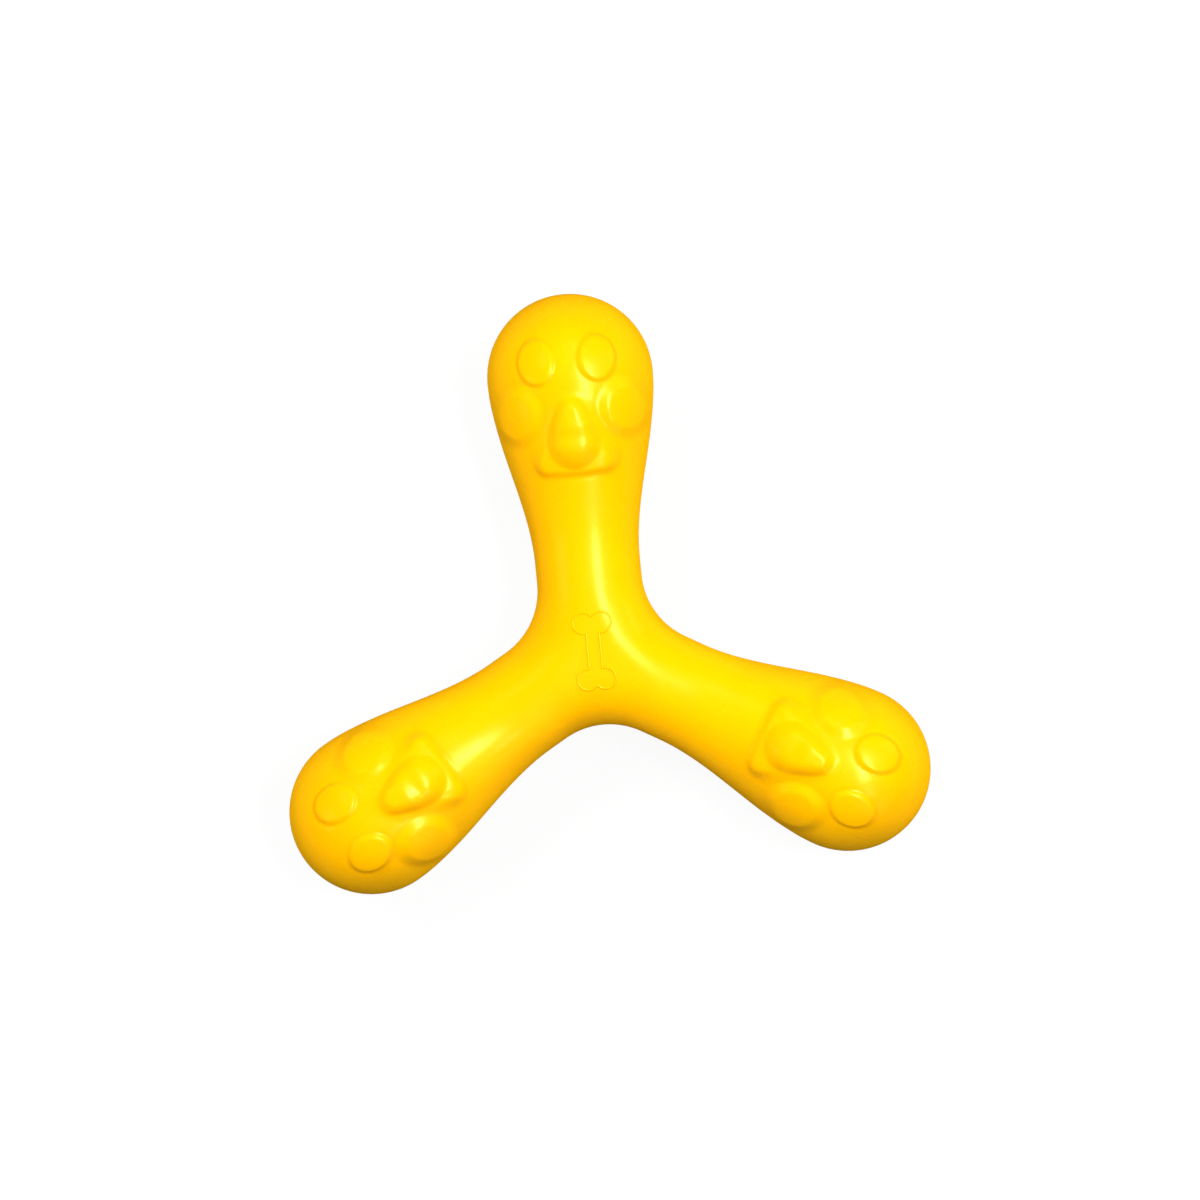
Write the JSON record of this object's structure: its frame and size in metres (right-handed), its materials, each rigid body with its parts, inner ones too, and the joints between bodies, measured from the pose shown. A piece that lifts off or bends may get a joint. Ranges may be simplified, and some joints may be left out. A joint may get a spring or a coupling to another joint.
{
  "type": "rubber boomerang dog toy",
  "caption": "Hollow moulded rubber boomerang toy with round arms, ball-shaped ends, raised paw prints and a snap-in squeaker under the hub.",
  "frame": {"origin": "centre of the hub on the plane where the two shells meet, which is also the centroid", "axes": "+Z out of the upper face, +Y along one arm, +X to the right of that arm; the other arms point 120 degrees to each side"},
  "size_m": [0.1792, 0.1614, 0.049],
  "materials": {
    "body_rubber": "glossy moulded, saturated yellow",
    "squeaker_plastic": "natural moulded polyethylene",
    "reed_film": "smooth translucent film"
  },
  "bodies": {
    "toy": {"upper_shell": "body_rubber", "lower_shell": "body_rubber", "squeaker_housing": "squeaker_plastic", "reed_carrier": "squeaker_plastic", "reed_wedge": "squeaker_plastic"},
    "reed": {"reed": "reed_film"}
  },
  "joints": [
    {"name": "reed_flex", "type": "hinge", "parent": "toy", "child": "reed", "pos_m": [0, 0.00013, -0.0042], "axis": [1, 0, 0], "range_deg": [-2.2, 7]}
  ]
}
